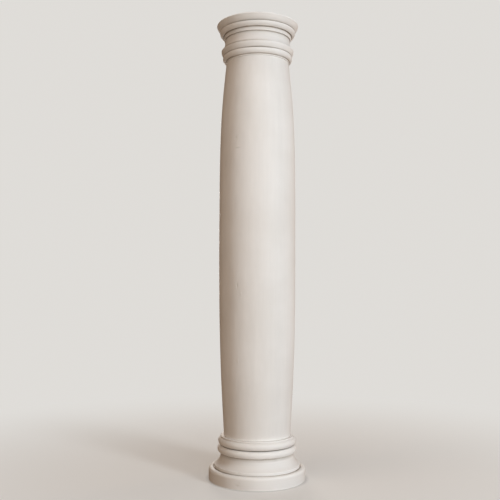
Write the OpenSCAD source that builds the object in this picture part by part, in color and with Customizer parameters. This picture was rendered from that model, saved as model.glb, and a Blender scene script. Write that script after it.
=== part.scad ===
// Round column of cast plaster in three castings: base, swelling shaft and capital.
// Millimetres, +Z up, origin on the floor at the centre of the plinth's underside.

/* [Plinth and scotia] */
// Diameter of the round plinth, the widest part of the column
plinth_d = 511; // [440:1:620]
// Height of the plinth
plinth_h = 66; // [50:1:110]
// Radius of the rounding along the plinth's top edge
plinth_edge_r = 15; // [4:1:22]
// Diameter of the thin fillet that stands on the plinth
foot_fillet_d = 454; // [430:1:470]
// Height of that fillet
foot_fillet_h = 14; // [6:1:24]
// Height of the hollow that sweeps in above the fillet
scotia_h = 53; // [35:1:80]
// Depth of the hollow, measured from its chord
scotia_hollow = 9; // [2:0.5:14]
// Diameter of the band at the top of the hollow
neck_band_d = 385; // [350:1:400]
// Height of that band
neck_band_h = 8; // [4:1:16]

/* [Rolls of the base] */
// Greatest diameter of the lower roll
lower_roll_d = 420; // [400:1:440]
// Height of the lower roll
lower_roll_h = 38; // [26:1:52]
// Greatest diameter of the upper roll
upper_roll_d = 413; // [400:1:440]
// Height of the upper roll
upper_roll_h = 38; // [26:1:52]
// How far both rolls swell out past the edges they spring from
roll_swell = 13; // [6:0.5:16]
// Diameter at the bottom of the groove between the rolls
roll_groove_d = 368; // [340:1:376]
// Height of that groove
roll_groove_h = 3; // [1:0.5:6]
// Diameter of the flat ring on top of the base
top_ring_d = 387; // [375:1:395]
// Height of that ring
top_ring_h = 8; // [4:1:16]

/* [Shaft] */
// Length of the shaft between the base and the capital
shaft_h = 2001; // [1400:1:2600]
// Diameter of the shaft at its foot
shaft_foot_d = 353; // [320:1:370]
// Greatest diameter of the shaft
shaft_swell_d = 410.5; // [385:0.5:430]
// Diameter of the shaft at its top
shaft_top_d = 340; // [320:1:348]
// Length of shaft below its greatest diameter
swell_rise = 1140; // [700:5:1300]
// How long the belly of the shaft stays nearly straight above its greatest diameter
swell_hold_above = 1.75; // [1:0.05:2.4]
// How long the belly of the shaft stays nearly straight below its greatest diameter
swell_hold_below = 1.6; // [1:0.05:2.4]

/* [Neck of the capital] */
// Diameter of the thin collar at the foot of the capital
collar_d = 349; // [348:0.5:356]
// Height of the collar
collar_h = 8; // [4:1:14]
// Diameter of the bead above the collar, at its upper edge
bead_top_d = 376; // [370:1:384]
// Height of the bead
bead_h = 29; // [20:1:40]
// How far the bead bows out of the straight line between its edges
bead_bow = 6.5; // [2:0.5:8]
// Diameter at the sharp upper edge of the neck ring
neck_ring_d = 395; // [385:1:410]
// Diameter at the foot of the neck ring
neck_ring_foot_d = 368; // [350:1:380]
// Height of the neck ring
neck_ring_h = 33; // [24:1:44]
// Diameter of the plain neck
neck_d = 356; // [340:1:362]
// Height of the flare between the neck ring and the plain neck
neck_flare_h = 38; // [24:1:50]
// Height of the plain neck
neck_h = 22; // [12:1:40]

/* [Head of the capital] */
// Diameter of the sloping band above the neck, at its top
band_d = 372; // [366:1:380]
// Height of the sloping band
band_h = 20; // [12:1:30]
// Diameter of the quarter-round moulding at its top
echinus_d = 411; // [395:1:425]
// Diameter of the quarter-round moulding at its foot
echinus_foot_d = 379; // [376:1:390]
// Height of the quarter-round moulding
echinus_h = 24; // [16:1:34]
// Diameter of the round slab on top
abacus_d = 444; // [430:1:480]
// Diameter of that slab at its foot
abacus_foot_d = 396; // [384:1:420]
// Height of the slab
abacus_h = 37; // [26:1:54]
// Radius of the rounding along the slab's top edge
abacus_edge_r = 4; // [1:0.5:8]

/* [Hidden] */
$fn = 96;

// Straight steps in each rounded stretch of an outline, and in the swelling of the shaft
ARC_STEPS = 12;
SWELL_STEPS = 26;

// How far each moulding bows out of the straight line between its edges; a hollow is negative
neck_ring_bow = 3;
neck_flare_bow = -4.5;
band_bow = 0.5;
echinus_bow = 4.8;
abacus_bow = -1.5;
// The bead and the sloping band each start a small step outside what is below them
bead_foot_d = collar_d + 1;
band_foot_d = neck_d + 7;

// Heights in the base, from the floor up
fillet_z = plinth_h;
scotia_z = fillet_z + foot_fillet_h;
neck_band_z = scotia_z + scotia_h;
lower_roll_z = neck_band_z + neck_band_h;
groove_z = lower_roll_z + lower_roll_h;
upper_roll_z = groove_z + roll_groove_h;
top_ring_z = upper_roll_z + upper_roll_h;
base_top_z = top_ring_z + top_ring_h;

// Heights in the shaft
swell_z = base_top_z + swell_rise;
shaft_top_z = base_top_z + shaft_h;

// Heights in the capital
bead_z = shaft_top_z + collar_h;
neck_ring_z = bead_z + bead_h;
neck_flare_z = neck_ring_z + neck_ring_h;
neck_z = neck_flare_z + neck_flare_h;
band_z = neck_z + neck_h;
echinus_z = band_z + band_h;
abacus_z = echinus_z + echinus_h;
column_h = abacus_z + abacus_h;

// A bow that makes a quarter circle between the two ends of a rounded edge
function quarter_bow(r) = r * (1 - cos(45));

// Points of a circular arc from p to q. Seen along the way, it bows to the right by bow,
// which is outwards on an outline that climbs.
function arc_between(p, q, bow, steps = ARC_STEPS) =
    let (
        chord = norm(q - p),
        ahead = (q - p) / chord,
        out = [ahead[1], -ahead[0]],
        half = 2 * atan(2 * abs(bow) / chord),
        r = chord / (2 * sin(half)),
        side = bow < 0 ? -1 : 1
    )
    [for (i = [0:steps])
        let (a = half * (2 * i / steps - 1))
        (p + q) / 2 + r * sin(a) * ahead + side * r * (cos(a) - cos(half)) * out];

// A roll of greatest radius r and height h that springs from the height z
function roll(r, z, h) =
    arc_between([r - roll_swell, z], [r - roll_swell, z + h], roll_swell);

// Radius of the shaft at the height z. It falls from the greatest radius to the radius at
// either end as a quarter of a cosine wave, whose angle is the share of the way raised to
// a power, which keeps the middle nearly straight.
function shaft_r(z) =
    let (
        above = z > swell_z,
        share = above ? (z - swell_z) / (shaft_top_z - swell_z) : (swell_z - z) / swell_rise,
        end_r = (above ? shaft_top_d : shaft_foot_d) / 2,
        hold = above ? swell_hold_above : swell_hold_below
    )
    end_r + (shaft_swell_d / 2 - end_r) * cos(90 * pow(share, hold));

function base_outline() = concat(
    [[0, 0], [plinth_d / 2, 0]],
    arc_between(
        [plinth_d / 2, plinth_h - plinth_edge_r],
        [plinth_d / 2 - plinth_edge_r, plinth_h],
        quarter_bow(plinth_edge_r)
    ),
    [[foot_fillet_d / 2, fillet_z]],
    arc_between([foot_fillet_d / 2, scotia_z], [neck_band_d / 2, neck_band_z], -scotia_hollow),
    [[neck_band_d / 2, lower_roll_z]],
    roll(lower_roll_d / 2, lower_roll_z, lower_roll_h),
    [[roll_groove_d / 2, groove_z], [roll_groove_d / 2, upper_roll_z]],
    roll(upper_roll_d / 2, upper_roll_z, upper_roll_h),
    [[top_ring_d / 2, top_ring_z], [top_ring_d / 2, base_top_z], [0, base_top_z]]
);

function shaft_outline() = concat(
    [[0, base_top_z]],
    [for (i = [0:SWELL_STEPS])
        let (z = base_top_z + shaft_h * i / SWELL_STEPS)
        [shaft_r(z), z]],
    [[0, shaft_top_z]]
);

function capital_outline() = concat(
    [[0, shaft_top_z], [collar_d / 2, shaft_top_z], [collar_d / 2, bead_z]],
    arc_between([bead_foot_d / 2, bead_z], [bead_top_d / 2, neck_ring_z], bead_bow),
    arc_between([neck_ring_foot_d / 2, neck_ring_z], [neck_ring_d / 2, neck_flare_z], neck_ring_bow),
    arc_between([neck_ring_d / 2, neck_flare_z], [neck_d / 2, neck_z], neck_flare_bow),
    [[neck_d / 2, band_z]],
    arc_between([band_foot_d / 2, band_z], [band_d / 2, echinus_z], band_bow),
    arc_between([echinus_foot_d / 2, echinus_z], [echinus_d / 2, abacus_z], echinus_bow),
    arc_between(
        [abacus_foot_d / 2, abacus_z],
        [abacus_d / 2, column_h - abacus_edge_r],
        abacus_bow
    ),
    arc_between(
        [abacus_d / 2, column_h - abacus_edge_r],
        [abacus_d / 2 - abacus_edge_r, column_h],
        quarter_bow(abacus_edge_r)
    ),
    [[0, column_h]]
);

// Round plinth, fillet, hollow, two rolls and the flat ring that carries the shaft
module base() {
    color([0.90, 0.88, 0.85])
        rotate_extrude()
            polygon(base_outline());
}

// Plain shaft, fullest a little above the middle, standing on the base
module shaft() {
    color([0.91, 0.89, 0.86])
        rotate_extrude()
            polygon(shaft_outline());
}

// Collar, bead, neck ring, neck, sloping band, quarter-round moulding and round slab
module capital() {
    color([0.92, 0.90, 0.87])
        rotate_extrude()
            polygon(capital_outline());
}

base();
shaft();
capital();
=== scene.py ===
"""Round column of cast plaster: finish of its base, shaft and capital, a plain floor and studio lamps.

Each casting is its outline carried round the axis. The outline is read from the rings of the
construction model, rounded a little at its edges as a casting is, and given the slight unevenness of
work finished by hand. Lengths are metres. Bearings are turned about the axis from the front, which
faces the camera, towards the right.
"""

import math
from collections import namedtuple

import bpy
import numpy as np
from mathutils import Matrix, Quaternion, Vector


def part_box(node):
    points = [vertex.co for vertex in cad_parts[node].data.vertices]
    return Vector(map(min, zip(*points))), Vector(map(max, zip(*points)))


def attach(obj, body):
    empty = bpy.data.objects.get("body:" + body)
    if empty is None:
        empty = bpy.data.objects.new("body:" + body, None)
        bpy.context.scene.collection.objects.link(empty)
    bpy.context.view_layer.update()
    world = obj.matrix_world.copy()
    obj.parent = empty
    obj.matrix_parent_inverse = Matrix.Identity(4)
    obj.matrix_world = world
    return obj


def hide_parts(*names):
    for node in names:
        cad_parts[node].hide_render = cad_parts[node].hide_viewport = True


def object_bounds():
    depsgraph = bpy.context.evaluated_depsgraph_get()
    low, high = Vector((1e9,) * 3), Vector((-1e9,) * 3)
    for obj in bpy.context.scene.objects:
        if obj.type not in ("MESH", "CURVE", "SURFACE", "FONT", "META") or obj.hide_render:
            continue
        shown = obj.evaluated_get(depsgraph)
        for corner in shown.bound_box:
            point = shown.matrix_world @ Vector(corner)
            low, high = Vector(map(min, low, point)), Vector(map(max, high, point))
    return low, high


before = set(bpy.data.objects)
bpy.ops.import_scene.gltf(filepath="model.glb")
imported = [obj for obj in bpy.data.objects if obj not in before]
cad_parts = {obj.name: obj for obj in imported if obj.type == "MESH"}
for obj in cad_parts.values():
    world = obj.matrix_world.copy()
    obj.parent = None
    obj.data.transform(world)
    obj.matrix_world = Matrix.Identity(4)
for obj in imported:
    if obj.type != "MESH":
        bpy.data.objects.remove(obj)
CAD_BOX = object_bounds()

bl_info = {
    "name": "Round plaster column",
    "version": (1, 0, 0),
    "blender": (4, 5, 0),
    "location": "View3D > Sidebar > Column",
    "description": "Makes a round column of cast plaster with a swelling shaft, and a studio round it",
    "category": "Add Mesh",
}

# Seeds of the castings' unevenness
BASE_SEED = 11
SHAFT_SEED = 23
CAPITAL_SEED = 37

# Sizes that the construction model gives
COLUMN_H = CAD_BOX[1].z
PLINTH_R = CAD_BOX[1].x
SHAFT_FOOT_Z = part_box("shaft")[0].z
SHAFT_TOP_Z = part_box("shaft")[1].z
CAPITAL_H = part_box("capital")[1].z - SHAFT_TOP_Z

# The slab's face reaches from SLAB_H below its top to the small rounded edge at its top
SLAB_H = 0.037
SLAB_EDGE = 0.003

# The fine crease just above the neck ring's sharp edge: its height over the shaft, its half width
# in height, its depth and how strongly painted shade darkens it on the shade side
CREASE_H = 0.0748
CREASE_TALL = 0.0050
CREASE_DEPTH = 0.0010
CREASE_SHADE = 1.0

# A small fault in the plaster, at a bearing and a height over the floor. width is measured round the
# column and tall along its outline; a depth below zero is a lump.
Fault = namedtuple("Fault", "bearing height width tall depth")

SHAFT_FAULTS = (
    Fault(math.radians(-31), 1.741, 0.010, 0.0025, -0.0008),
    Fault(math.radians(-31), 1.735, 0.010, 0.0025, 0.0007),
    Fault(math.radians(-34), 1.790, 0.005, 0.010, 0.0008),
    Fault(math.radians(-31), 1.018, 0.003, 0.010, 0.0014),
    Fault(math.radians(-25), 0.978, 0.003, 0.008, -0.0010),
    Fault(math.radians(-31), 0.635, 0.003, 0.010, -0.0010),
    Fault(math.radians(-78), 0.975, 0.004, 0.014, -0.0010),
    Fault(math.radians(96), 1.460, 0.007, 0.003, 0.0012),
    Fault(math.radians(151), 0.870, 0.004, 0.011, 0.0013),
)
BASE_FAULTS = (
    Fault(math.radians(-23), 0.022, 0.009, 0.005, 0.0012),
    Fault(math.radians(-20), 0.041, 0.004, 0.004, -0.0008),
    Fault(math.radians(-63), 0.080, 0.014, 0.005, 0.0018),
    Fault(math.radians(-44), 0.081, 0.011, 0.004, 0.0012),
    Fault(math.radians(-24), 0.079, 0.007, 0.004, 0.0008),
    Fault(math.radians(63), 0.081, 0.009, 0.004, 0.0010),
    Fault(math.radians(137), 0.060, 0.012, 0.007, 0.0024),
    Fault(math.radians(-142), 0.004, 0.014, 0.006, 0.0026),
)
CAPITAL_FAULTS = (
    Fault(math.radians(-41), 2.299, 0.010, 0.003, 0.0014),
    Fault(math.radians(-18), 2.379, 0.007, 0.003, 0.0010),
    Fault(math.radians(118), 2.437, 0.011, 0.004, 0.0018),
    Fault(math.radians(-160), 2.402, 0.008, 0.004, 0.0013),
)


# ---------------------------------------------------------------- settings


class ColumnFinish(bpy.types.PropertyGroup):
    """Colours and surface of the plaster."""

    tone: bpy.props.FloatVectorProperty(
        name="Tone",
        description="Colour of clean plaster",
        subtype="COLOR",
        size=3,
        min=0.0,
        max=1.0,
        default=(0.780, 0.760, 0.738),
    )
    # Painted shade: the colour painted into the grooves; the dents and pinholes are darkened with it too
    shade_tone: bpy.props.FloatVectorProperty(
        name="Groove tone",
        description="Colour of the plaster where dust lies, in the grooves",
        subtype="COLOR",
        size=3,
        min=0.0,
        max=1.0,
        default=(0.30, 0.245, 0.19),
    )
    # Painted shade: how strongly the grooves, and the dents, take the shade tone
    shade_and_dents: bpy.props.FloatProperty(
        name="Dust",
        description="How strongly the grooves take the groove tone",
        min=0.0,
        max=1.0,
        default=0.95,
    )
    # Rubbed edges and painted highlight: a lighter tone on the ridges, and on the slab's whole face
    rub_and_highlight_tone: bpy.props.FloatVectorProperty(
        name="Edge tone",
        description="Colour of the plaster where its edges are rubbed",
        subtype="COLOR",
        size=3,
        min=0.0,
        max=1.0,
        default=(0.88, 0.865, 0.845),
    )
    # Rubbed edges and painted highlight: how strongly the ridges and the slab's face take the lighter
    # tone
    rub_and_highlight_strength: bpy.props.FloatProperty(
        name="Rubbing",
        description="How strongly the edges take the edge tone",
        min=0.0,
        max=1.0,
        default=0.65,
    )
    drift: bpy.props.FloatProperty(
        name="Tone drift",
        description="How far the tone wanders over the surface, as a share",
        min=0.0,
        max=0.3,
        default=0.038,
    )
    grain: bpy.props.FloatProperty(
        name="Grain height",
        description="Height of the fine grain left by the last coat",
        subtype="DISTANCE",
        unit="LENGTH",
        min=0.0,
        max=0.002,
        default=0.00022,
    )


class ColumnCasting(bpy.types.PropertyGroup):
    """How finely and how evenly the castings are made."""

    round_steps: bpy.props.IntProperty(
        name="Steps round",
        description="Points in each ring of a casting",
        min=48,
        max=720,
        default=448,
    )
    rows: bpy.props.IntProperty(
        name="Rows",
        description="Rings between the underside and the top of a casting",
        min=40,
        max=400,
        default=218,
    )
    softness: bpy.props.FloatProperty(
        name="Edge softness",
        description="How far the casting rounds the edges of the outline",
        subtype="DISTANCE",
        unit="LENGTH",
        min=0.0002,
        max=0.006,
        default=0.0009,
    )
    quirk: bpy.props.FloatProperty(
        name="Quirk depth",
        description="How far the scraper cuts into the inner corners of the mouldings",
        subtype="DISTANCE",
        unit="LENGTH",
        min=0.0,
        max=0.01,
        default=0.0040,
    )
    wander: bpy.props.FloatProperty(
        name="Wander",
        description="Typical depth of the broad unevenness left by hand finishing",
        subtype="DISTANCE",
        unit="LENGTH",
        min=0.0,
        max=0.004,
        default=0.00035,
    )
    ripple: bpy.props.FloatProperty(
        name="Ripple",
        description="Typical depth of the small unevenness left by the scraper",
        subtype="DISTANCE",
        unit="LENGTH",
        min=0.0,
        max=0.001,
        default=0.00005,
    )
    slab_swell: bpy.props.FloatProperty(
        name="Slab swell",
        description="How far the face of the slab is worn round, out of its straight slope",
        subtype="DISTANCE",
        unit="LENGTH",
        min=0.0,
        max=0.01,
        default=0.0042,
    )
    filler: bpy.props.FloatProperty(
        name="Joint filler",
        description="How far the filler at the shaft's two joints stands out",
        subtype="DISTANCE",
        unit="LENGTH",
        min=0.0,
        max=0.006,
        default=0.0012,
    )


class ColumnStage(bpy.types.PropertyGroup):
    """Camera, lamps and floor."""

    camera_back: bpy.props.FloatProperty(
        name="Camera distance",
        description="Distance of the camera in front of the column's axis",
        subtype="DISTANCE",
        unit="LENGTH",
        min=0.5,
        max=50.0,
        default=1.5573 * COLUMN_H,
    )
    camera_left: bpy.props.FloatProperty(
        name="Camera offset",
        description="Distance of the camera to the left of the column's axis",
        subtype="DISTANCE",
        unit="LENGTH",
        min=-5.0,
        max=5.0,
        default=0.0161 * COLUMN_H,
    )
    camera_height: bpy.props.FloatProperty(
        name="Camera height",
        description="Height of the camera above the floor",
        subtype="DISTANCE",
        unit="LENGTH",
        min=0.0,
        max=10.0,
        default=0.4127 * COLUMN_H,
    )
    camera_tilt: bpy.props.FloatProperty(
        name="Camera tilt",
        description="Angle by which the camera looks up",
        subtype="ANGLE",
        unit="ROTATION",
        min=-1.5,
        max=1.5,
        default=math.radians(3.093),
    )
    camera_roll: bpy.props.FloatProperty(
        name="Camera roll",
        description="Angle by which the camera leans to its left",
        subtype="ANGLE",
        unit="ROTATION",
        min=-0.5,
        max=0.5,
        default=math.radians(0.11),
    )
    lens: bpy.props.FloatProperty(
        name="Focal length",
        description="Focal length of the camera, for a sensor 36 mm wide",
        subtype="DISTANCE_CAMERA",
        unit="CAMERA",
        min=10.0,
        max=300.0,
        default=50.64,
    )
    floor_tone: bpy.props.FloatVectorProperty(
        name="Floor tone",
        description="Colour of the floor",
        subtype="COLOR",
        size=3,
        min=0.0,
        max=1.0,
        default=(0.80, 0.79, 0.775),
    )
    floor_bounce: bpy.props.FloatVectorProperty(
        name="Floor bounce",
        description="Colour of the light that the floor throws back at the column",
        subtype="COLOR",
        size=3,
        min=0.0,
        max=1.0,
        default=(0.33, 0.255, 0.19),
    )
    backdrop_tone: bpy.props.FloatVectorProperty(
        name="Backdrop tone",
        description="Colour that the floor fades into and that lies behind the column",
        subtype="COLOR",
        size=3,
        min=0.0,
        max=1.0,
        default=(0.74, 0.72, 0.69),
    )
    surround_tone: bpy.props.FloatVectorProperty(
        name="Surround tone",
        description="Colour of the light that comes from all round",
        subtype="COLOR",
        size=3,
        min=0.0,
        max=1.0,
        default=(1.0, 0.60, 0.34),
    )
    surround: bpy.props.FloatProperty(
        name="Surround strength",
        description="Strength of the light that comes from all round",
        min=0.0,
        max=2.0,
        default=0.09,
    )
    lamp_level: bpy.props.FloatProperty(
        name="Lamp level",
        description="Scales all lamps together",
        min=0.0,
        max=4.0,
        default=1.0,
    )


# ---------------------------------------------------------------- outlines

# The construction model's points are rounded to these decimals, and those that are then nearer to
# each other than this belong to one ring
RING_DECIMALS = 5
SAME_RING = 1e-4
# Heights nearer to each other than this are level
SAME_LEVEL = 1e-6
# Number of standard deviations at which a bell curve is cut off
BELL_REACH = 4


def cad_outline(node):
    """Outline (radius, height) of a turned node, from the middle of its underside to that of its top.

    Points of equal radius and height are one ring. The mesh edges that join two rings form a single
    path, which is walked from the lowest ring upwards.
    """
    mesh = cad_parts[node].data
    co = np.empty(len(mesh.vertices) * 3, np.float32)
    mesh.vertices.foreach_get("co", co)
    co = co.reshape(-1, 3)
    points = np.column_stack([np.hypot(co[:, 0], co[:, 1]), co[:, 2]])
    rings, member = np.unique(np.round(points, RING_DECIMALS), axis=0, return_inverse=True)
    near = np.linalg.norm(rings[:, None] - rings[None], axis=2) < SAME_RING
    member = near.argmax(axis=1)[member.ravel()]
    ends = np.empty(len(mesh.edges) * 2, np.int32)
    mesh.edges.foreach_get("vertices", ends)
    pairs = member[ends.reshape(-1, 2)]
    pairs = np.unique(np.sort(pairs[pairs[:, 0] != pairs[:, 1]], axis=1), axis=0)
    loose = [r for r in np.unique(pairs) if (pairs == r).sum() == 1]
    if len(loose) != 2:
        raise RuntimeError(f"{node} isn't a turned solid with one outline")
    here = min(loose, key=lambda r: rings[r, 1])
    path = [here]
    while len(path) <= len(pairs):
        beside = pairs[(pairs == here).any(axis=1)].ravel()
        here = next(r for r in beside if r not in path)
        path.append(here)
    outline = rings[path]
    foot = [0.0, outline[0, 1]]
    top = [0.0, outline[-1, 1]]
    return np.vstack([foot, outline, top])


def along(outline):
    """Distance along the outline of each of its points."""
    return np.concatenate([[0.0], np.cumsum(np.linalg.norm(np.diff(outline, axis=0), axis=1))])


def at(outline, way, places):
    """Points of the outline at the places along it, where way gives the place of each known point."""
    return np.column_stack([np.interp(places, way, column) for column in outline.T])


def hump(distance, spread):
    """A smooth hump: exp(-(distance / spread)^2), which is 1 in the middle."""
    return np.exp(-((distance / spread) ** 2))


def turned_by(bearing, centre):
    """Bearing measured from centre, between minus and plus half a turn."""
    return (bearing - centre + math.pi) % (2 * math.pi) - math.pi


def blurred(points, spread, step):
    """Evenly spaced points, each the mean of its neighbours under a bell curve of that spread."""
    reach = max(1, int(math.ceil(BELL_REACH * spread / step)))
    bell = np.exp(-0.5 * (np.arange(-reach, reach + 1) * step / spread) ** 2)
    bell /= bell.sum()
    padded = np.pad(points, ((reach, reach), (0, 0)), mode="edge")
    return np.column_stack([np.convolve(column, bell, mode="valid") for column in padded.T])


def normals(outline):
    """Unit vectors that point out of the outline, which climbs with the solid on its left."""
    run = np.gradient(outline, axis=0)
    out = np.column_stack([run[:, 1], -run[:, 0]])
    return out / np.maximum(np.linalg.norm(out, axis=1, keepdims=True), 1e-12)


def overhang(outline, reach):
    """How far the outline stands out, up to reach above each point, beyond the point itself."""
    up = outline[None, :, 1] - outline[:, None, 1]
    above = (up >= 0.0) & (up <= reach)
    return np.where(above, outline[None, :, 0], 0.0).max(axis=1) - outline[:, 0]


def crowded(length, weights, where, count):
    """count distances from 0 to length, spaced in inverse proportion to weights, given at where."""
    share = np.concatenate([[0.0], np.cumsum((weights[1:] + weights[:-1]) / 2 * np.diff(where))])
    return np.interp(np.linspace(0.0, share[-1], count), share, where) * (length / where[-1])


# ---------------------------------------------------------------- profile of a casting

# Steps of the outline from which a casting is worked out
FINE_STEP = 0.0004

# A hollow is where the outline's mean over a spread lies outside the outline, and it counts in full
# at the depth given. A recess is a broad hollow under an overhang, a ridge the opposite of a broad
# hollow, and a corner is a narrow hollow.
RECESS_SPREAD = 0.0075
RECESS_FULL = 0.0021
RIDGE_FULL = 0.0020
CORNER_SPREAD = 0.0030
CORNER_FULL = 0.0010
OVERHANG_REACH = 0.014
OVERHANG_FULL = 0.006

# Rows lie closer at a bend, by this gain on its radians a metre, up to the most that counts
BEND_GAIN = 0.035
BEND_MOST = 400.0
# They lie closer by a fault, over a multiple of how tall it is and a little more, and by a joint
FAULT_ROWS = 3.0
FAULT_ROWS_REACH = (2.5, 0.002)
JOINT_ROWS = 2.0
JOINT_ROWS_REACH = 0.012
# They lie further apart on a face that is hidden, from this far inside its rim
HIDDEN_ROWS = 0.12
HIDDEN_IN = 0.02

# Columns lie closer by a fault, over this angle, and are placed from so many trial bearings
FAULT_COLUMNS = 1.2
FAULT_COLUMNS_REACH = 0.06
TRIAL_BEARINGS = 4001

# A node's outline. raw is its own points. The others are in fine steps: way is the distance along
# it, even its points, soft the same with rounded edges, out their normals, and recess, corner and
# ridge are shares from 0 to 1. The last is the ridges' share, with the slab's face in
# full, and it drives the rubbed edges and painted highlight.
Profile = namedtuple("Profile", "raw step way even soft out recess corner ridge")


def slab_relief(height, swell):
    """Rounding of the slab's face: swell times 4 t (1 - t), where t climbs from 0 to 1 up that face."""
    low = SHAFT_TOP_Z + CAPITAL_H - SLAB_H
    high = SHAFT_TOP_Z + CAPITAL_H - SLAB_EDGE
    t = np.clip((height - low) / (high - low), 0.0, 1.0)
    return swell * 4 * t * (1 - t)


def fine_profile(node, softness):
    """The profile of a node. The whole face of the slab counts as a ridge, so that it takes a painted
    highlight.
    """
    raw = cad_outline(node)
    known = along(raw)
    count = int(known[-1] / FINE_STEP)
    step = known[-1] / (count - 1)
    way = np.linspace(0.0, known[-1], count)
    even = at(raw, known, way)
    soft = blurred(even, softness, step)
    out = normals(soft)
    broad = ((blurred(even, RECESS_SPREAD, step) - soft) * out).sum(axis=1)
    narrow = ((blurred(even, CORNER_SPREAD, step) - soft) * out).sum(axis=1)
    recess = np.clip(broad / RECESS_FULL, 0.0, 1.0)
    # Painted shade: the groove shade counts only under an overhang, where shade from above falls. The
    # quirk's cut follows the same share.
    recess *= np.clip(overhang(even, OVERHANG_REACH) / OVERHANG_FULL, 0.0, 1.0)
    corner = np.clip(narrow / CORNER_FULL, 0.0, 1.0)
    ridge = np.clip(-broad / RIDGE_FULL, 0.0, 1.0)
    # Painted highlight: the slab's whole face is lightened like a rubbed ridge.
    ridge = np.maximum(ridge, slab_relief(even[:, 1], 1.0))
    return Profile(raw, step, way, even, soft, out, recess, corner, ridge)


def row_places(profile, softness, faults, joint_heights, count):
    """Places of the rows along the outline, crowded at its bends, faults and joints."""
    raw, even = profile.raw, profile.even
    height = even[:, 1]
    bend = np.linalg.norm(np.gradient(profile.out, axis=0), axis=1) / profile.step
    bend = blurred(bend[:, None], softness, profile.step)[:, 0]
    weight = 1.0 + BEND_GAIN * np.minimum(bend, BEND_MOST)
    multiple, more = FAULT_ROWS_REACH
    for fault in faults:
        weight += FAULT_ROWS * hump(height - fault.height, multiple * fault.tall + more)
    for joint in joint_heights:
        weight += JOINT_ROWS * hump(height - joint, JOINT_ROWS_REACH)
    under = height < raw[0, 1] + SAME_LEVEL
    over = height > raw[-1, 1] - SAME_LEVEL
    inner = even[:, 0] < np.where(under, raw[1, 0], raw[-2, 0]) - HIDDEN_IN
    weight = np.where((under | over) & inner, HIDDEN_ROWS, weight)
    return crowded(profile.way[-1], weight, profile.way, count + 2)[1:-1]


def column_bearings(faults, count):
    """Bearings of the columns from minus to plus half a turn, crowded where the faults lie."""
    turn = np.linspace(-math.pi, math.pi, TRIAL_BEARINGS)
    density = np.ones_like(turn)
    for fault in faults:
        density += FAULT_COLUMNS * hump(turned_by(turn, fault.bearing), FAULT_COLUMNS_REACH)
    return crowded(2 * math.pi, density, turn + math.pi, count + 1)[:-1] - math.pi


# ---------------------------------------------------------------- surfaces

# Waves of unevenness: what is added to the casting's seed, how many waves there are, how often one
# rises and falls round the column, and its length along the axis
Waves = namedtuple("Waves", "seed count turns lengths")
WANDER = Waves(0, 18, (1, 5), (0.35, 1.6))
RIPPLE = Waves(1, 40, (9, 34), (0.06, 0.30))
LUMPS = Waves(10, 14, (2, 17), (0.2, 0.9))

# Filler at a joint: its half width up the column, and then its mean, the size of its lumps and its
# most, as shares of how far it stands out
FILLER_REACH = 0.004
FILLER_MEAN = 0.35
FILLER_LUMPS = 0.55
FILLER_MOST = 1.6

# What lies this near to the height of the casting's ends stays flat, and so does what lies within
# this share of its radius from the axis
FLAT_RIM = 0.0006
FLAT_SHARE = 0.2

# Painted shade in a sharp corner and in the crease: how much of it a corner takes, the bearing of
# the shade side, where it is darkest, and the least share of it, on the far side
CORNER_SHARE = 0.55
SHADE_SIDE = math.radians(-60)
SHADE_LEAST = 0.05

# Darkening in a dent: the depth at which it counts in full, and the most that any dent takes
DENT_FULL = 0.006
DENT_MOST = 0.2


def waves(bearing, height, seed, kind, depth):
    """Sum of cosine waves over the unrolled surface, of typical size depth.

    Each wave is cos(n * bearing + 2 pi height / length + phase), where n is a whole number, so that
    the sum closes on itself.
    """
    rng = np.random.default_rng(seed + kind.seed)
    total = np.zeros(np.broadcast(bearing, height).shape)
    for _ in range(kind.count):
        n = rng.integers(kind.turns[0], kind.turns[1] + 1)
        pitch = rng.uniform(*kind.lengths) * rng.choice([-1.0, 1.0])
        phase = rng.uniform(0.0, 2 * math.pi)
        total += np.cos(n * bearing + 2 * math.pi * height / pitch + phase)
    return total * depth * math.sqrt(2.0 / kind.count)


def fault_relief(bearing, outline, faults):
    """Sum of dents: minus depth times exp(-(across / width)^2 - (way / tall)^2).

    across is measured round the column, and way along the outline from the point on the casting's
    side that has the fault's height.
    """
    radius = outline[:, 0]
    climb = along(outline)
    total = np.zeros((len(outline), len(bearing)))
    for fault in faults:
        across = turned_by(bearing, fault.bearing)[None] * radius[:, None]
        way = climb - climb[np.argmin(np.abs(outline[:, 1] - fault.height))]
        total -= fault.depth * np.exp(-((across / fault.width) ** 2) - (way / fault.tall)[:, None] ** 2)
    return total


def crease_share(height):
    """The crease over the neck ring: exp(-(distance from its height / its half width)^2)."""
    return hump(height - SHAFT_TOP_Z - CREASE_H, CREASE_TALL)


def casting_relief(made, seed, outline, recess, bearing, dents, joint_heights):
    """Push along the normal: waves + dents - quirks + swell - crease + filler, and 0 on flat parts."""
    height = outline[:, 1][:, None]
    turn = bearing[None]
    relief = waves(turn, height, seed, WANDER, made.wander)
    relief += waves(turn, height, seed, RIPPLE, made.ripple)
    relief += dents
    relief -= made.quirk * recess[:, None] ** 2
    relief += slab_relief(height, made.slab_swell)
    relief -= CREASE_DEPTH * crease_share(height)
    for k, joint in enumerate(joint_heights):
        lumps = waves(turn, height, seed + k, LUMPS, FILLER_LUMPS)
        stand = np.clip(FILLER_MEAN + lumps, 0.0, FILLER_MOST)
        relief += made.filler * stand * hump(height - joint, FILLER_REACH)
    radius = outline[:, 0][:, None]
    flat = (height < outline[0, 1] + FLAT_RIM) | (height > outline[-1, 1] - FLAT_RIM)
    flat |= radius < radius.max() * FLAT_SHARE
    return np.where(flat, 0.0, relief)


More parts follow.
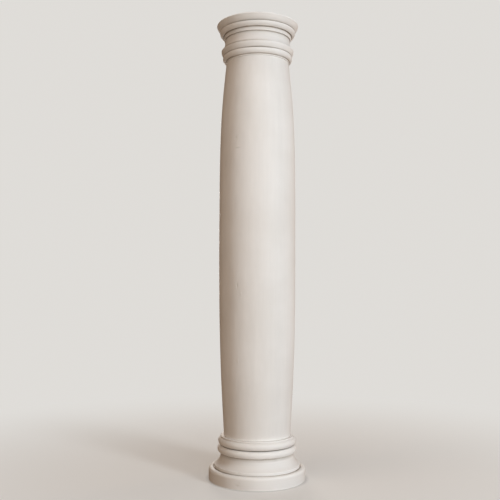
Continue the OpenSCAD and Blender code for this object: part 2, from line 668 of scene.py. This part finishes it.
def shade_and_dent_share(height, recess, corner, bearing, dented):
    """Share of darkening: painted shade in the grooves, the largest of recess, corner and crease, plus
    darker dents.
    """
    # Painted shade: corners and the crease are darkest on the shade side of the column.
    toward_shade_side = np.clip(np.cos(bearing[None] - SHADE_SIDE), SHADE_LEAST, 1.0)
    grooves = np.maximum(recess[:, None], CORNER_SHARE * corner[:, None] * toward_shade_side)
    grooves = np.maximum(grooves, CREASE_SHADE * crease_share(height[:, None]) * toward_shade_side)
    return np.clip(grooves + dented, 0.0, 1.0)


def turned_mesh(name, outline, bearing, relief):
    """A closed solid of revolution: x = r sin(b), y = -r cos(b), z = h.

    outline is the climbing rows (r, h) between the two poles, and bearing the columns b. relief is
    how far each point of that grid is pushed along the outline's normal first.
    """
    rows, columns = relief.shape
    out = normals(outline)
    radius = outline[:, 0][:, None] + relief * out[:, 0][:, None]
    height = outline[:, 1][:, None] + relief * out[:, 1][:, None]
    x = radius * np.sin(bearing)[None]
    y = -radius * np.cos(bearing)[None]
    grid = np.stack([x, y, height], axis=2).reshape(-1, 3)
    poles = np.array([[0.0, 0.0, outline[0, 1]], [0.0, 0.0, outline[-1, 1]]])
    co = np.concatenate([grid, poles])

    row, column = np.meshgrid(np.arange(rows - 1), np.arange(columns), indexing="ij")
    right = (column + 1) % columns
    quads = np.stack(
        [
            row * columns + column,
            row * columns + right,
            (row + 1) * columns + right,
            (row + 1) * columns + column,
        ],
        axis=2,
    ).reshape(-1, 4)
    first = np.arange(columns)
    after = (first + 1) % columns
    last = (rows - 1) * columns
    foot_pole = np.full(columns, rows * columns)
    top_pole = foot_pole + 1
    foot = np.column_stack([foot_pole, after, first])
    top = np.column_stack([top_pole, last + first, last + after])

    mesh = bpy.data.meshes.new(name)
    mesh.vertices.add(len(co))
    mesh.vertices.foreach_set("co", co.astype(np.float32).ravel())
    corners = np.concatenate([quads.ravel(), foot.ravel(), top.ravel()])
    sizes = np.concatenate([np.full(len(quads), 4), np.full(2 * columns, 3)])
    mesh.loops.add(len(corners))
    mesh.loops.foreach_set("vertex_index", corners.astype(np.int32))
    mesh.polygons.add(len(sizes))
    starts = np.concatenate([[0], np.cumsum(sizes)[:-1]])
    mesh.polygons.foreach_set("loop_start", starts.astype(np.int32))
    mesh.polygons.foreach_set("use_smooth", np.ones(len(sizes), bool))
    mesh.update(calc_edges=True)
    mesh.validate()
    return mesh


def put_values(mesh, name, grid):
    """Point attribute from the values on the mesh's grid, and zero at its two poles."""
    attribute = mesh.attributes.new(name, "FLOAT", "POINT")
    attribute.data.foreach_set("value", np.append(grid.ravel(), [0.0, 0.0]).astype(np.float32))


def casting(name, node, seed, faults, joint_heights, finish_name):
    """One casting: the node's outline, rounded at its edges, carried round the axis with its relief."""
    scene = bpy.context.scene
    made = scene.column_casting
    profile = fine_profile(node, made.softness)
    places = row_places(profile, made.softness, faults, joint_heights, made.rows)
    outline = at(profile.soft, profile.way, places)
    recess = np.interp(places, profile.way, profile.recess)
    corner = np.interp(places, profile.way, profile.corner)
    ridge = np.interp(places, profile.way, profile.ridge)
    bearing = column_bearings(faults, made.round_steps)
    dents = fault_relief(bearing, outline, faults)
    relief = casting_relief(made, seed, outline, recess, bearing, dents, joint_heights)
    mesh = turned_mesh(name, outline, bearing, relief)
    # Painted shade of the grooves, and darker dents, go into recess; rubbed edges and the painted
    # highlight go into the next attribute.
    dented = np.clip(-dents / DENT_FULL, 0.0, DENT_MOST)
    put_values(mesh, "recess", shade_and_dent_share(outline[:, 1], recess, corner, bearing, dented))
    put_values(mesh, "ridge", ridge[:, None] * (1.0 - dented))
    mesh.materials.append(plaster(finish_name, made_of=node))
    piece = bpy.data.objects.new(name, mesh)
    scene.collection.objects.link(piece)
    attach(piece, "root")
    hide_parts(node)


# ---------------------------------------------------------------- plaster

# Noise: its scale in cycles a metre, its octaves and its roughness
Noise = namedtuple("Noise", "scale detail roughness")
CLOUDS = Noise(3.1, 3.0, 0.5)
DRAG = Noise(1.0, 4.0, 0.6)
PATCHES = Noise(26.0, 4.0, 0.65)
HOLE_PATCHES = Noise(17.0, 2.0, 0.5)
SHEEN = Noise(9.0, 4.0, 0.6)
GRAIN = Noise(420.0, 3.0, 0.6)

# Parts of a noise's range that are spread over the whole of what it drives
MIDDLE = (0.30, 0.70)
CLOUD_MIDDLE = (0.34, 0.66)
DRAG_MIDDLE = (0.25, 0.75)
FEW = (0.56, 0.66)

# How strongly red, green and blue fall with the drift, and what share of it the pale parts gain
DEEP_SHARES = (1.0, 1.15, 1.4)
PALE_SHARE = 0.5

# Drag marks: how they are squeezed along x, y and z on the shaft, which they run up, and on the
# mouldings, which they run round, and how far they change the tone and stand out beside the grain
UPRIGHT_DRAG = (34.0, 34.0, 2.2)
LEVEL_DRAG = (5.0, 5.0, 210.0)
DRAG_TONES = (0.97, 1.02)
DRAG_SHARE = 1.4

# How much of the rubbed edges and painted highlight, and of the painted shade and darker dents, the
# patches leave
PATCH_SHARES = (0.65, 1.0)

# Pinholes: cells in a metre, the radii in cells of a hole's floor and rim, how far it is darkened and
# its depth
HOLE_CELLS = 62.0
HOLE_RADII = (0.045, 0.085)
HOLE_DARKENING = 0.2
HOLE_DEPTH = 0.0011

# Roughness of the smoothest and of the roughest patches, how much the surface mirrors, its index of
# refraction, and how strongly the fine relief turns the light
ROUGHNESS = (0.56, 0.72)
SPECULAR = 0.30
IOR = 1.48
BUMP_STRENGTH = 0.8


def link(tree, out_socket, in_socket):
    """Joins two sockets."""
    tree.links.new(out_socket, in_socket)


def noise(tree, vector, kind):
    """Noise of that kind at each point of vector, from 0 to 1."""
    node = tree.nodes.new("ShaderNodeTexNoise")
    node.inputs["Scale"].default_value = kind.scale
    node.inputs["Detail"].default_value = kind.detail
    node.inputs["Roughness"].default_value = kind.roughness
    link(tree, vector, node.inputs["Vector"])
    return node.outputs["Fac"]


def stretched(tree, vector, scale):
    """The vector times scale, axis by axis."""
    node = tree.nodes.new("ShaderNodeMapping")
    node.inputs["Scale"].default_value = scale
    link(tree, vector, node.inputs["Vector"])
    return node.outputs["Vector"]


def ranged(tree, value, old, new=(0.0, 1.0), smooth=False):
    """The value carried from the range old to the range new, and held at its ends."""
    node = tree.nodes.new("ShaderNodeMapRange")
    node.interpolation_type = "SMOOTHSTEP" if smooth else "LINEAR"
    node.inputs["From Min"].default_value = old[0]
    node.inputs["From Max"].default_value = old[1]
    node.inputs["To Min"].default_value = new[0]
    node.inputs["To Max"].default_value = new[1]
    link(tree, value, node.inputs["Value"])
    return node.outputs["Result"]


def put(tree, socket, value):
    """Sets the socket to a plain value, or links it to another socket."""
    if isinstance(value, (int, float, tuple)):
        socket.default_value = value
    else:
        link(tree, value, socket)


def combined(tree, operation, a, b):
    """One step of arithmetic on two values."""
    node = tree.nodes.new("ShaderNodeMath")
    node.operation = operation
    put(tree, node.inputs[0], a)
    put(tree, node.inputs[1], b)
    return node.outputs["Value"]


def times(tree, *factors):
    """The product of the factors, from the left."""
    product = factors[0]
    for factor in factors[1:]:
        product = combined(tree, "MULTIPLY", product, factor)
    return product


def mixed(tree, factor, a, b, blend="MIX"):
    """Colour a, with b laid over it by factor."""
    node = tree.nodes.new("ShaderNodeMix")
    node.data_type = "RGBA"
    node.blend_type = blend
    named = {s.identifier: s for s in node.inputs}
    put(tree, named["Factor_Float"], factor)
    put(tree, named["A_Color"], a)
    put(tree, named["B_Color"], b)
    return next(s for s in node.outputs if s.identifier == "Result_Color")


def shaded(tree, colour, value):
    """The colour times a grey of that value."""
    grey = tree.nodes.new("ShaderNodeCombineColor")
    for socket in grey.inputs:
        link(tree, value, socket)
    return mixed(tree, 1.0, colour, grey.outputs["Color"], "MULTIPLY")


def surface_value(tree, name):
    """The mesh's own attribute of that name."""
    node = tree.nodes.new("ShaderNodeAttribute")
    node.attribute_name = name
    return node.outputs["Fac"]


def object_place(tree):
    """Object coordinates."""
    return tree.nodes.new("ShaderNodeTexCoord").outputs["Object"]


def pinholes(tree, place):
    """Holes left by air in the mix, 1 in their middles: those of a few scattered cells."""
    cells = tree.nodes.new("ShaderNodeTexVoronoi")
    cells.inputs["Scale"].default_value = HOLE_CELLS
    link(tree, place, cells.inputs["Vector"])
    few = ranged(tree, noise(tree, place, HOLE_PATCHES), FEW)
    hole = ranged(tree, cells.outputs["Distance"], HOLE_RADII, (1.0, 0.0), smooth=True)
    return times(tree, hole, few)


def plaster_colour(tree, place, finish, drag, hole):
    """Clouds of pale and deep plaster times the drag marks, then rubbed edges with painted highlight,
    painted shade in the grooves with darker dents, and darker pinholes.
    """
    tone = tuple(finish.tone)
    pale = (*(min(1.0, c * (1 + finish.drift * PALE_SHARE)) for c in tone), 1.0)
    deep = (*(c * (1 - share * finish.drift) for c, share in zip(tone, DEEP_SHARES)), 1.0)
    shade_colour = (*finish.shade_tone, 1.0)
    clouds = ranged(tree, noise(tree, place, CLOUDS), CLOUD_MIDDLE, smooth=True)
    colour = mixed(tree, clouds, deep, pale)
    colour = shaded(tree, colour, ranged(tree, drag, DRAG_MIDDLE, DRAG_TONES))
    patchy = ranged(tree, noise(tree, place, PATCHES), MIDDLE, PATCH_SHARES)
    # Rubbed edges and painted highlight: a lighter tone on the ridges and on the slab's whole face.
    rub_and_highlight_strength = times(tree, surface_value(tree, "ridge"), patchy, finish.rub_and_highlight_strength)
    colour = mixed(tree, rub_and_highlight_strength, colour, (*finish.rub_and_highlight_tone, 1.0))
    # Painted shade: the shade tone laid into the grooves, darkest under overhangs and on the shade side,
    # and into the dents.
    shade_and_dents = times(tree, surface_value(tree, "recess"), patchy, finish.shade_and_dents)
    colour = mixed(tree, shade_and_dents, colour, shade_colour)
    return mixed(tree, times(tree, hole, HOLE_DARKENING), colour, shade_colour)


def plaster_bump(tree, place, finish, drag, hole):
    """Normal of the fine relief: grain plus drag marks minus pinholes, as heights in metres."""
    grain = times(tree, noise(tree, place, GRAIN), finish.grain)
    scraped = times(tree, drag, finish.grain * DRAG_SHARE)
    height = combined(tree, "ADD", grain, scraped)
    height = combined(tree, "SUBTRACT", height, times(tree, hole, HOLE_DEPTH))
    bump = tree.nodes.new("ShaderNodeBump")
    bump.inputs["Distance"].default_value = 1.0
    bump.inputs["Strength"].default_value = BUMP_STRENGTH
    link(tree, height, bump.inputs["Height"])
    return bump.outputs["Normal"]


def plaster(name, made_of):
    """Off-white matt plaster. Its drag marks run up the shaft, and round the mouldings."""
    finish = bpy.context.scene.column_finish
    material = bpy.data.materials.new(name)
    material.use_nodes = True
    tree = material.node_tree
    tree.nodes.clear()
    output = tree.nodes.new("ShaderNodeOutputMaterial")
    shader = tree.nodes.new("ShaderNodeBsdfPrincipled")
    link(tree, shader.outputs["BSDF"], output.inputs["Surface"])
    place = object_place(tree)
    squeeze = UPRIGHT_DRAG if made_of == "shaft" else LEVEL_DRAG
    drag = noise(tree, stretched(tree, place, squeeze), DRAG)
    hole = pinholes(tree, place)
    link(tree, plaster_colour(tree, place, finish, drag, hole), shader.inputs["Base Color"])
    rough = ranged(tree, noise(tree, place, SHEEN), MIDDLE, ROUGHNESS)
    link(tree, rough, shader.inputs["Roughness"])
    shader.inputs["Specular IOR Level"].default_value = SPECULAR
    shader.inputs["IOR"].default_value = IOR
    link(tree, plaster_bump(tree, place, finish, drag, hole), shader.inputs["Normal"])
    return material


# ---------------------------------------------------------------- stage

# A panel lamp: its bearing, its height and its distance from the column's axis in column heights, the
# panel's width and height, the level of light that it gives the column's middle, and its colour
Lamp = namedtuple("Lamp", "name bearing height distance size level tone")
LAMPS = (
    Lamp("key", math.radians(44), 1.60, 3.8, (1.6, 2.4), 0.340, (0.87, 0.94, 1.0)),
    Lamp("key_low", math.radians(44), 0.62, 3.4, (1.6, 2.2), 0.325, (0.90, 0.96, 1.0)),
    Lamp("front", math.radians(8), 0.42, 3.0, (2.0, 2.0), 0.155, (0.87, 0.96, 1.0)),
    Lamp("front_fill", math.radians(-28), 1.50, 2.6, (2.4, 3.0), 0.085, (1.0, 0.90, 0.78)),
    Lamp("low_fill", math.radians(-30), 0.20, 2.8, (2.4, 0.8), 0.100, (1.0, 0.72, 0.50)),
    Lamp("right_rim", math.radians(122), 0.80, 2.8, (1.6, 3.0), 0.17, (1.0, 0.68, 0.44)),
    Lamp("back", math.radians(-172), 0.80, 2.8, (2.0, 3.0), 0.52, (1.0, 0.94, 0.88)),
    Lamp("overhead", 0.0, 3.4, 0.3, (3.0, 3.0), 0.13, (1.0, 0.95, 0.90)),
    Lamp("high_left", math.radians(-60), 3.0, 1.4, (2.0, 2.0), 0.115, (1.0, 0.78, 0.60)),
    Lamp("high_right", math.radians(30), 3.0, 1.4, (2.0, 2.0), 0.075, (0.85, 0.93, 1.0)),
)

# The floor disc: its radius, its sides, the distances over which it fades into the backdrop, and how
# far it has faded at the nearer one
FLOOR_REACH = 40.0
FLOOR_SIDES = 96
FLOOR_FADE = (0.3, 3.0)
FLOOR_NEAR_GLOW = 0.25

# The shade on the floor round the plinth: its two radii, in plinth radii, and the tone at the inner
CONTACT_RADII = (1.0, 1.10)
CONTACT_TONE = 0.72

# Width of the camera's sensor in millimetres
SENSOR_W = 36.0


def add_lamp(lamp, middle, scale):
    """A panel lamp that points at the column's middle, of power = level * pi^2 * distance^2."""
    data = bpy.data.lights.new(lamp.name, "AREA")
    data.shape = "RECTANGLE"
    data.size, data.size_y = lamp.size
    data.color = lamp.tone
    lamp_object = bpy.data.objects.new(lamp.name, data)
    across = lamp.distance * COLUMN_H
    lamp_object.location = (
        across * math.sin(lamp.bearing),
        -across * math.cos(lamp.bearing),
        lamp.height * COLUMN_H,
    )
    beam = middle - lamp_object.location
    data.energy = scale * lamp.level * math.pi**2 * beam.length_squared
    lamp_object.rotation_mode = "QUATERNION"
    lamp_object.rotation_quaternion = beam.to_track_quat("-Z", "Y")
    bpy.context.scene.collection.objects.link(lamp_object)


def camera_sees(tree):
    """1 where the camera looks straight at the surface, and 0 for its light on other things."""
    return tree.nodes.new("ShaderNodeLightPath").outputs["Is Camera Ray"]


def blended(tree, factor, a, b):
    """Shader a, with b laid over it by factor."""
    mix = tree.nodes.new("ShaderNodeMixShader")
    link(tree, factor, mix.inputs["Fac"])
    link(tree, a, mix.inputs[1])
    link(tree, b, mix.inputs[2])
    return mix.outputs["Shader"]


def background(tree, tone, strength):
    """A background of that tone and strength."""
    node = tree.nodes.new("ShaderNodeBackground")
    node.inputs["Color"].default_value = (*tone, 1.0)
    node.inputs["Strength"].default_value = strength
    return node.outputs["Background"]


def add_surround(stage):
    """World: soft light from all round, and the plain backdrop where the camera looks past the floor."""
    world = bpy.data.worlds.new("surround")
    world.use_nodes = True
    tree = world.node_tree
    tree.nodes.clear()
    light = background(tree, stage.surround_tone, stage.surround)
    seen = background(tree, stage.backdrop_tone, 1.0)
    output = tree.nodes.new("ShaderNodeOutputWorld")
    link(tree, blended(tree, camera_sees(tree), light, seen), output.inputs["Surface"])
    bpy.context.scene.world = world


def floor_material(stage):
    """Pale matt floor that fades into the backdrop away from the column, so that no horizon shows."""
    material = bpy.data.materials.new("floor_paint")
    material.use_nodes = True
    tree = material.node_tree
    tree.nodes.clear()
    output = tree.nodes.new("ShaderNodeOutputMaterial")
    seen = camera_sees(tree)
    tone = mixed(tree, seen, (*stage.floor_bounce, 1.0), (*stage.floor_tone, 1.0))
    far = tree.nodes.new("ShaderNodeVectorMath")
    far.operation = "LENGTH"
    link(tree, object_place(tree), far.inputs[0])
    radii = tuple(share * PLINTH_R for share in CONTACT_RADII)
    contact = ranged(tree, far.outputs["Value"], radii, (CONTACT_TONE, 1.0), smooth=True)
    matt = tree.nodes.new("ShaderNodeBsdfDiffuse")
    link(tree, shaded(tree, tone, contact), matt.inputs["Color"])
    glow = tree.nodes.new("ShaderNodeEmission")
    glow.inputs["Color"].default_value = (*stage.backdrop_tone, 1.0)
    fade = ranged(tree, far.outputs["Value"], FLOOR_FADE, (FLOOR_NEAR_GLOW, 1.0), smooth=True)
    floor = blended(tree, times(tree, fade, seen), matt.outputs["BSDF"], glow.outputs["Emission"])
    link(tree, floor, output.inputs["Surface"])
    return material


def add_floor(stage):
    """A wide flat disc on which the column stands."""
    turn = np.linspace(0.0, 2 * math.pi, FLOOR_SIDES, endpoint=False)
    rim = FLOOR_REACH * np.column_stack([np.cos(turn), np.sin(turn), np.zeros(FLOOR_SIDES)])
    mesh = bpy.data.meshes.new("floor")
    mesh.from_pydata(rim.tolist(), [], [list(range(FLOOR_SIDES))])
    mesh.materials.append(floor_material(stage))
    floor = bpy.data.objects.new("floor", mesh)
    bpy.context.scene.collection.objects.link(floor)


def add_camera(stage):
    """Camera in front of the column, a little to its left, looking slightly up."""
    data = bpy.data.cameras.new("camera")
    data.lens = stage.lens
    data.sensor_width = SENSOR_W
    data.clip_end = 4 * FLOOR_REACH
    camera = bpy.data.objects.new("camera", data)
    camera.location = (-stage.camera_left, -stage.camera_back, stage.camera_height)
    camera.rotation_mode = "QUATERNION"
    level = Quaternion((1.0, 0.0, 0.0), math.pi / 2 + stage.camera_tilt)
    camera.rotation_quaternion = level @ Quaternion((0.0, 0.0, 1.0), stage.camera_roll)
    bpy.context.scene.collection.objects.link(camera)
    bpy.context.scene.camera = camera


# ---------------------------------------------------------------- operators


class COLUMN_OT_base(bpy.types.Operator):
    """Makes the base: round plinth, fillet, hollow, two rolls and the ring under the shaft"""

    bl_idname = "column.add_base"
    bl_label = "Add base"

    def execute(self, context):
        casting("base_casting", "base", BASE_SEED, BASE_FAULTS, (), "plaster_base")
        return {"FINISHED"}


class COLUMN_OT_shaft(bpy.types.Operator):
    """Makes the plain swelling shaft, with the filler at its two joints"""

    bl_idname = "column.add_shaft"
    bl_label = "Add shaft"

    def execute(self, context):
        joints = (SHAFT_FOOT_Z, SHAFT_TOP_Z)
        casting("shaft_casting", "shaft", SHAFT_SEED, SHAFT_FAULTS, joints, "plaster_shaft")
        return {"FINISHED"}


class COLUMN_OT_capital(bpy.types.Operator):
    """Makes the capital: collar, bead, neck ring, neck, mouldings and round slab"""

    bl_idname = "column.add_capital"
    bl_label = "Add capital"

    def execute(self, context):
        casting("capital_casting", "capital", CAPITAL_SEED, CAPITAL_FAULTS, (), "plaster_capital")
        return {"FINISHED"}


class COLUMN_OT_stage(bpy.types.Operator):
    """Sets up the camera, the panel lamps, the surround and the floor"""

    bl_idname = "column.add_stage"
    bl_label = "Add stage"

    def execute(self, context):
        stage = context.scene.column_stage
        add_camera(stage)
        add_surround(stage)
        add_floor(stage)
        middle = Vector((0.0, 0.0, COLUMN_H / 2))
        for lamp in LAMPS:
            add_lamp(lamp, middle, stage.lamp_level)
        context.scene.view_settings.view_transform = "Standard"
        return {"FINISHED"}


# Each box of the panel: its settings, and the steps under them
PANEL_ROWS = (
    ("column_stage", ("column.add_stage",)),
    ("column_finish", ()),
    ("column_casting", ("column.add_base", "column.add_shaft", "column.add_capital")),
)


class COLUMN_PT_panel(bpy.types.Panel):
    """Lists the column's settings and the steps that make it"""

    bl_idname = "COLUMN_PT_panel"
    bl_label = "Plaster column"
    bl_space_type = "VIEW_3D"
    bl_region_type = "UI"
    bl_category = "Column"

    def draw(self, context):
        layout = self.layout
        for owner, steps in PANEL_ROWS:
            settings = getattr(context.scene, owner)
            box = layout.box()
            for name in settings.__annotations__:
                box.prop(settings, name)
            for step in steps:
                box.operator(step)


CLASSES = (
    ColumnFinish,
    ColumnCasting,
    ColumnStage,
    COLUMN_OT_base,
    COLUMN_OT_shaft,
    COLUMN_OT_capital,
    COLUMN_OT_stage,
    COLUMN_PT_panel,
)


def register():
    """Registers the classes, and hangs the three groups of settings on the scene."""
    for cls in CLASSES:
        bpy.utils.register_class(cls)
    bpy.types.Scene.column_finish = bpy.props.PointerProperty(type=ColumnFinish)
    bpy.types.Scene.column_casting = bpy.props.PointerProperty(type=ColumnCasting)
    bpy.types.Scene.column_stage = bpy.props.PointerProperty(type=ColumnStage)


def unregister():
    """Takes back what register does."""
    del bpy.types.Scene.column_stage
    del bpy.types.Scene.column_casting
    del bpy.types.Scene.column_finish
    for cls in reversed(CLASSES):
        bpy.utils.unregister_class(cls)


def main():
    register()
    bpy.ops.column.add_stage()
    bpy.ops.column.add_base()
    bpy.ops.column.add_shaft()
    bpy.ops.column.add_capital()


if __name__ == "__main__":
    main()
